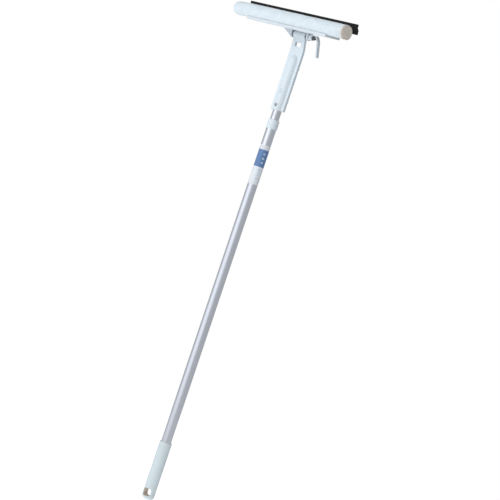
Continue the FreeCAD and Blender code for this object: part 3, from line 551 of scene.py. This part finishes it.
# Gathers in the cloth: how many go round, how far they stand out, and how far along they fade.
PLEATS, PLEAT_OUT, PLEAT_FADE = 15, 0.32 * MM, 9 * MM
PUCKERS, PUCKER_OUT, PUCKER_FADE = 11, 0.35 * MM, 11 * MM
SLACK_OUT = 0.42 * MM


def gathers(point):
    """How far the sleeve stands out: pleats at the hem, puckers at the seam, slack between."""
    x, y, z = point
    turn = math.atan2(z, y)
    from_hem, from_seam = SLEEVE_END - x, x + PAD_HALF_LENGTH
    pleat = math.sin(turn * PLEATS + 2.2 * math.sin(turn * 4))
    pleat *= math.exp(-abs(from_hem) / PLEAT_FADE)
    pucker = math.sin(turn * PUCKERS + 1.4 * math.sin(turn * 3))
    pucker *= math.exp(-abs(from_seam) / PUCKER_FADE)
    broad = noise.noise(Vector((x * 42, turn * 1.3, 3.1)))
    fine = noise.noise(Vector((x * 110, turn * 3.5, 7.7)))
    slack = broad + 0.5 * fine
    return PLEAT_OUT * pleat + PUCKER_OUT * pucker + SLACK_OUT * slack


# The frame's lip under the pad's front: its inner and outer edges, and its height at each.
LIP_INSIDE, LIP_OUTSIDE = -10 * MM, -12.9 * MM
LIP_RISE, LIP_CREST = 1.15 * MM, 2.45 * MM
FLOOR_GAP, FLOOR_END = 0.1 * MM, FRAME_HALF + 1 * MM


def keep_off_floor(vertex):
    """Rest the pad on the frame's floor, and on the sloping lip in front."""
    if abs(vertex.co.x) > FLOOR_END:
        return
    lowest = FLOOR_BELOW + FLOOR_GAP
    if LIP_OUTSIDE < vertex.co.y < LIP_INSIDE:
        along = (LIP_INSIDE - vertex.co.y) / (LIP_INSIDE - LIP_OUTSIDE)
        lowest = FLOOR_BELOW + LIP_RISE + along * (LIP_CREST - LIP_RISE)
    vertex.co.z = max(vertex.co.z, lowest)


def make_sleeve(fabric, thread):
    """The washer's fabric sleeve: sewn shut at the left, hemmed open at the right."""
    depth, tall = PAD_HALF_DEPTH - CLOTH_START, PAD_HALF_HEIGHT - CLOTH_START
    stations = []
    for step in range(ROUND_STEPS + 1):
        turn = math.radians(90 * step / ROUND_STEPS)
        inset = SLEEVE_ROUND * (1 - math.sin(turn))
        x = -PAD_HALF_LENGTH + SLEEVE_ROUND * (1 - math.cos(turn))
        stations.append((x, depth - inset, tall - inset, 0))
    straight = 2 * PAD_HALF_LENGTH - SLEEVE_ROUND
    for step in range(1, BAR_STEPS + 1):
        x = -PAD_HALF_LENGTH + SLEEVE_ROUND + straight * step / BAR_STEPS
        stations.append((x, depth, tall, 0))
    mesh = lofted("washer_sleeve", stations, SLEEVE_SIDES)
    sleeve = new_object("washer_sleeve", mesh, fabric, None)
    remesh(sleeve, SLEEVE_VOXEL)
    swell_cloth(sleeve)
    work = bmesh.new()
    work.from_mesh(sleeve.data)
    everything = work.verts[:] + work.edges[:] + work.faces[:]
    bmesh.ops.bisect_plane(work, geom=everything, dist=1e-6, plane_co=(SLEEVE_END, 0, 0),
                           plane_no=(1, 0, 0), clear_outer=True)
    bmesh.ops.subdivide_edges(work, edges=work.edges[:], cuts=1, use_grid_fill=True, smooth=0.6)
    work.normal_update()
    for vertex in work.verts:
        vertex.co += vertex.normal * gathers(vertex.co)
        keep_off_floor(vertex)
    work.to_mesh(sleeve.data)
    work.free()
    hem_line = hem_loop(sleeve.data)
    skin = sleeve.modifiers.new("skin", "SOLIDIFY")
    skin.thickness = SLEEVE_SKIN
    skin.offset = -1
    apply_modifiers(sleeve)
    sleeve.data.shade_smooth()
    sleeve.data.transform(PAD_TURN)
    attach(sleeve, "head")
    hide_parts("pad_sleeve")
    extras = [make_hem(hem_line, fabric), make_seam(thread), make_hem_stitches(hem_line, thread)]
    return sleeve, extras


def hem_loop(mesh):
    """The open edge of the sleeve, in order round it."""
    work = bmesh.new()
    work.from_mesh(mesh)
    rim = [e for e in work.edges if e.is_boundary]
    points = {v.co.copy().freeze() for e in rim for v in e.verts}
    work.free()
    return sorted(points, key=lambda p: math.atan2(p.z, p.y))


HEM_RADIUS, HEM_INSET = 1.05 * MM, 0.5 * MM


def make_hem(line, fabric):
    """The turned hem: a soft roll at the sleeve's open end."""
    points = []
    for place in line:
        radial = Vector((0, place.y, place.z)).normalized()
        points.append(place - radial * HEM_INSET)
    mesh = ring_along("sleeve_hem", points, HEM_RADIUS)
    for vertex in mesh.vertices:
        keep_off_floor(vertex)
    mesh.transform(PAD_TURN)
    hem = new_object("sleeve_hem", mesh, fabric, "head")
    return hem


STITCH_RADIUS = 0.22 * MM
SEAM_STITCHES, SEAM_STITCH_LENGTH, SEAM_PITCH = 90, 1.7 * MM, 3.2 * MM
SEAM_INSET, SEAM_OUT, SEAM_HEIGHT = 8 * MM, 0.15 * MM, -2 * MM
HEM_STITCH_LENGTH, HEM_STITCH_BACK, HEM_STITCH_OUT = 1.5 * MM, 4.2 * MM, 0.12 * MM
HEM_STITCH_FLOOR = 1.5 * MM  # no stitches where the sleeve lies on the frame


def stitches(name, spots, thread, length):
    """Short raised stitches; each spot is a place, the way it runs, and the way it faces."""
    work = bmesh.new()
    for place, along, out in spots:
        side = along.cross(out).normalized()
        turn = Matrix((along, side, out)).transposed().to_4x4()
        turn.translation = place
        made = bmesh.ops.create_uvsphere(work, u_segments=8, v_segments=5, radius=1.0)
        shape = turn @ Matrix.Diagonal((length / 2, STITCH_RADIUS, STITCH_RADIUS, 1))
        bmesh.ops.transform(work, matrix=shape, verts=made["verts"])
    mesh = bpy.data.meshes.new(name)
    work.to_mesh(mesh)
    work.free()
    mesh.transform(PAD_TURN)
    made = new_object(name, mesh, thread, "head")
    return made


def make_seam(thread):
    """The sleeve's closing seam, sewn along the back of the pad."""
    spots = []
    for step in range(SEAM_STITCHES):
        x = -PAD_HALF_LENGTH + SEAM_INSET + step * SEAM_PITCH
        spots.append((Vector((x, PAD_HALF_DEPTH + SEAM_OUT, SEAM_HEIGHT)), Vector((1, 0, 0)),
                      Vector((0, 1, 0))))
    return stitches("sleeve_seam", spots, thread, SEAM_STITCH_LENGTH)


def make_hem_stitches(line, thread):
    """A row of stitches behind the hem, all round."""
    spots = []
    for one, two in zip(line, line[1:] + line[:1]):
        along = (two - one).normalized()
        out = Vector((0, (one.y + two.y) / 2, (one.z + two.z) / 2)).normalized()
        place = (one + two) / 2 + out * HEM_STITCH_OUT - Vector((HEM_STITCH_BACK, 0, 0))
        if place.z > FLOOR_BELOW + HEM_STITCH_FLOOR:
            spots.append((place, along, out))
    return stitches("hem_stitches", spots, thread, HEM_STITCH_LENGTH)


SPONGE_SLACK = 0.5 * MM  # between the sponge and the inside of the sleeve
SPONGE_SIDES, SPONGE_VOXEL = 64, 1.6 * MM
SPONGE_STATIONS, SPONGE_START, SPONGE_PITCH = 24, 12 * MM, 11.6 * MM
# The sponge's sewn-in end: how far in from the pad's end, and how much smaller.
SPONGE_SHUT = [(6 * MM, 6 * MM), (9 * MM, 1 * MM)]
# Its free end: how far in from the pad's end, how much deeper and taller, and its rise.
SPONGE_END = [
    (3.4 * MM, -0.3 * MM, -0.6 * MM, -0.3 * MM), (2.6 * MM, 0.3 * MM, 0.2 * MM, -0.6 * MM),
    (1.5 * MM, 0.5 * MM, 0.5 * MM, -0.7 * MM), (0.7 * MM, 0.1 * MM, 0.1 * MM, -0.7 * MM),
    (0.2 * MM, -1.2 * MM, -1.2 * MM, -0.7 * MM), (0, -5 * MM, -5 * MM, -0.7 * MM),
    (0, -10 * MM, -10 * MM, -0.7 * MM)]
# Roughness of the cut foam at the free end: noise scales, and how far each stands out.
COARSE_CUT, COARSE_OUT, FINE_CUT, FINE_OUT = 260, 0.35 * MM, 900, 0.12 * MM
CUT_FADE = 3 * MM


def make_sponge(foam):
    """The sponge bar: held in by the sleeve, and swelling where its cut end comes out."""
    depth = PAD_HALF_DEPTH - SLEEVE_SKIN - SPONGE_SLACK
    tall = PAD_HALF_HEIGHT - SLEEVE_SKIN - SPONGE_SLACK
    stations = [(-PAD_HALF_LENGTH + inset, depth - less, tall - less, 0)
                for inset, less in SPONGE_SHUT]
    for step in range(SPONGE_STATIONS):
        x = -PAD_HALF_LENGTH + SPONGE_START + step * SPONGE_PITCH
        stations.append((x, depth, tall, 0))
    stations += [
        (PAD_HALF_LENGTH - 7 * MM, depth, tall, 0),
        (SLEEVE_END + 0.2 * MM, depth + 0.4 * MM, tall + 0.2 * MM, -0.1 * MM)]
    for inset, wider, taller, rise in SPONGE_END:
        stations.append((PAD_HALF_LENGTH - inset, PAD_HALF_DEPTH + wider,
                         PAD_HALF_HEIGHT + taller, rise))
    mesh = lofted("washer_sponge", stations, SPONGE_SIDES)
    sponge = new_object("washer_sponge", mesh, foam, None)
    remesh(sponge, SPONGE_VOXEL)
    for vertex in sponge.data.vertices:
        near_end = max(0.0, min(1.0, (vertex.co.x - SLEEVE_END + 1 * MM) / CUT_FADE))
        coarse = noise.noise(vertex.co * COARSE_CUT) * COARSE_OUT
        rough = coarse + noise.noise(vertex.co * FINE_CUT) * FINE_OUT
        vertex.co += vertex.normal * rough * near_end
        keep_off_floor(vertex)
    sponge.data.shade_smooth()
    sponge.data.transform(PAD_TURN)
    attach(sponge, "head")
    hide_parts("sponge_pad")
    return sponge


# ---------------------------------------------------------------- carried CAD nodes

def paint(material, *names):
    for name in names:
        nodes[name].data.materials.clear()
        nodes[name].data.materials.append(material)


white = moulded("white_plastic", (219, 229, 237), roughness=0.4)
# painted shade: the frame's plastic is a slightly greyer copy of the white, for the shade on its
# band under the pad
pale = moulded("frame_plastic", (214, 222, 229), roughness=0.45)
grip_white = grip_plastic()
black = moulded("black_plastic", (17, 17, 19), roughness=0.45, variation=4, specular=0.25)
grey = moulded("lock_plastic", (120, 124, 130), roughness=0.5)
outer_metal = drawn_aluminium("outer_aluminium", (229, 233, 243), 0.25)
inner_metal = drawn_aluminium("inner_aluminium", (226, 230, 239), 0.22, wear=0.5)
steel = turned_metal("steel", (176, 178, 184), 0.32)
# The lever's nut is a real part; its dark tone is also painted shade, for the shade under the
# lever's hub
dark_steel = turned_metal("dark_steel", (118, 120, 126), 0.38)
rubber = black_rubber()
fabric = pile_fabric()
foam = open_foam()
thread = moulded("sewing_thread", (225, 231, 237), roughness=0.8, grain=0.00006, specular=0.2)

paint(grip_white, "grip")
paint(outer_metal, "outer_tube")
paint(inner_metal, "inner_tube")
paint(printed_label(), "label_sleeve")
paint(white, "collar", "neck", "neck_cover", "lock_lever")
paint(pale, "head_frame")
paint(grey, "tube_end_plug", "guide_bush", "lock_jaw", "cam_spindle", "pad_core",
      "left_friction_washer", "right_friction_washer")
paint(steel, "lock_washer", "spindle_screw", "neck_screws", "snap_button", "button_leaf",
      "hinge_pin", "holder_screws", "core_screws")
paint(dark_steel, "lever_nut")
paint(black, "blade_holder", "left_blade_clip", "right_blade_clip")
paint(rubber, "rubber_blade")

sleeve, sleeve_extras = make_sleeve(fabric, thread)
sponge = make_sponge(foam)


# ---------------------------------------------------------------- floor, light, camera

AIM = Vector((0, 0, 0.488))
CAMERA_AZIMUTH, CAMERA_ELEVATION, CAMERA_DISTANCE = 40, 1.2, 3.64
CAMERA_LENS, CAMERA_SENSOR, CAMERA_SHIFT = 123.8, 36, 0.0388
CAMERA_ROLL, CAMERA_REACH = 18.57, 200
BRIGHT_AZIMUTH, BRIGHT_ELEVATION = -8, 22  # where the studio is brightest
# How bright the studio is from its dark side to its bright side: place and level.
SOFT_LEVELS = [(0.0, 0.2), (0.55, 0.36), (1.0, 1.06)]
MIRRORED_LEVELS = [(0.0, 0.46), (0.72, 0.5), (1.0, 1.15)]
STUDIO_TINT = (0.97, 0.99, 1.0)
LAMP_ELEVATION, LAMP_DISTANCE, LAMP_SIZE, LAMP_WATTS = 28, 2.6, 1.3, 12
FLOOR_RADIUS, FLOOR_SIDES, FLOOR_GLOW = 1.6, 128, 0.6
FLOOR_DROP = 0.2 * MM  # how far the floor lies below the part


def from_angles(azimuth, elevation):
    """The way to a light or camera; azimuth 0 is on -Y, and turns towards +X."""
    a, e = math.radians(azimuth), math.radians(elevation)
    return Vector((math.sin(a) * math.cos(e), -math.cos(a) * math.cos(e), math.sin(e)))


def make_floor():
    """A white floor; its glow fills the shade, and isn't mirrored in the metal."""
    mesh = bpy.data.meshes.new("floor")
    work = bmesh.new()
    bmesh.ops.create_circle(work, cap_ends=True, radius=FLOOR_RADIUS,
                            segments=FLOOR_SIDES)
    work.to_mesh(mesh)
    work.free()
    shader = Shader("floor_white", roughness=0.7, specular=0.1)
    shader.colour(linear(244, 244, 244))
    shader.surface.inputs["Emission Color"].default_value = (1, 1, 1, 1)
    path = shader.add("ShaderNodeLightPath")
    unmirrored = shader.math("SUBTRACT", 1.0, path.outputs["Is Glossy Ray"])
    glow = shader.math("MULTIPLY", unmirrored, FLOOR_GLOW)
    shader.feed(shader.surface.inputs["Emission Strength"], glow)
    floor = new_object("floor", mesh, shader.material, None, smooth=False)
    floor.location.z = cad_low.z - FLOOR_DROP


def make_world():
    """A white studio, brightest in front of the washer; metal mirrors a brighter one."""
    world = bpy.data.worlds.new("studio")
    scene.world = world
    world.use_nodes = True
    tree = world.node_tree
    tree.nodes.clear()
    place = tree.nodes.new("ShaderNodeTexCoord")
    facing = tree.nodes.new("ShaderNodeVectorMath")
    facing.operation = "DOT_PRODUCT"
    facing.inputs[1].default_value = from_angles(BRIGHT_AZIMUTH, BRIGHT_ELEVATION)
    tree.links.new(place.outputs["Generated"], facing.inputs[0])
    spread = tree.nodes.new("ShaderNodeMapRange")
    spread.inputs["From Min"].default_value = -1
    tree.links.new(facing.outputs["Value"], spread.inputs["Value"])

    def backdrop(levels):
        fall = tree.nodes.new("ShaderNodeValToRGB")
        fall.color_ramp.interpolation = "EASE"
        stops = fall.color_ramp.elements
        stops.new(0.5)
        for stop, (where, level) in zip(stops, levels):
            stop.position = where
            stop.color = (*(level * share for share in STUDIO_TINT), 1)
        tree.links.new(spread.outputs["Result"], fall.inputs["Fac"])
        shade = tree.nodes.new("ShaderNodeBackground")
        tree.links.new(fall.outputs["Color"], shade.inputs["Color"])
        return shade.outputs[0]

    def choose(switch, no, yes):
        mixed = tree.nodes.new("ShaderNodeMixShader")
        tree.links.new(path.outputs[switch], mixed.inputs["Fac"])
        tree.links.new(no, mixed.inputs[1])
        tree.links.new(yes, mixed.inputs[2])
        return mixed.outputs[0]

    path = tree.nodes.new("ShaderNodeLightPath")
    seen = tree.nodes.new("ShaderNodeBackground")
    seen.inputs["Color"].default_value = (1, 1, 1, 1)
    lit = choose("Is Glossy Ray", backdrop(SOFT_LEVELS), backdrop(MIRRORED_LEVELS))
    output = tree.nodes.new("ShaderNodeOutputWorld")
    tree.links.new(choose("Is Camera Ray", lit, seen.outputs[0]), output.inputs["Surface"])


def make_lamp():
    """One soft lamp on the studio's bright side."""
    light = bpy.data.lights.new("key", "AREA")
    light.shape = "DISK"
    light.size = LAMP_SIZE
    light.energy = LAMP_WATTS
    lamp = bpy.data.objects.new("key", light)
    scene.collection.objects.link(lamp)
    way = from_angles(BRIGHT_AZIMUTH, LAMP_ELEVATION)
    lamp.location = AIM + way * LAMP_DISTANCE
    lamp.rotation_euler = way.to_track_quat("Z", "Y").to_euler()


def make_camera():
    """The pole leans to the right in the frame, because the camera is rolled."""
    data = bpy.data.cameras.new("camera")
    data.lens, data.sensor_width = CAMERA_LENS, CAMERA_SENSOR
    data.shift_x = CAMERA_SHIFT
    data.clip_end = CAMERA_REACH
    camera = bpy.data.objects.new("camera", data)
    scene.collection.objects.link(camera)
    back = from_angles(CAMERA_AZIMUTH, CAMERA_ELEVATION)
    camera.location = AIM + back * CAMERA_DISTANCE
    camera.rotation_mode = "QUATERNION"
    roll = Quaternion((0, 0, 1), math.radians(CAMERA_ROLL))
    camera.rotation_quaternion = (-back).to_track_quat("-Z", "Y") @ roll
    scene.camera = camera


make_floor()
make_world()
make_lamp()
make_camera()
scene.view_settings.view_transform = "Standard"
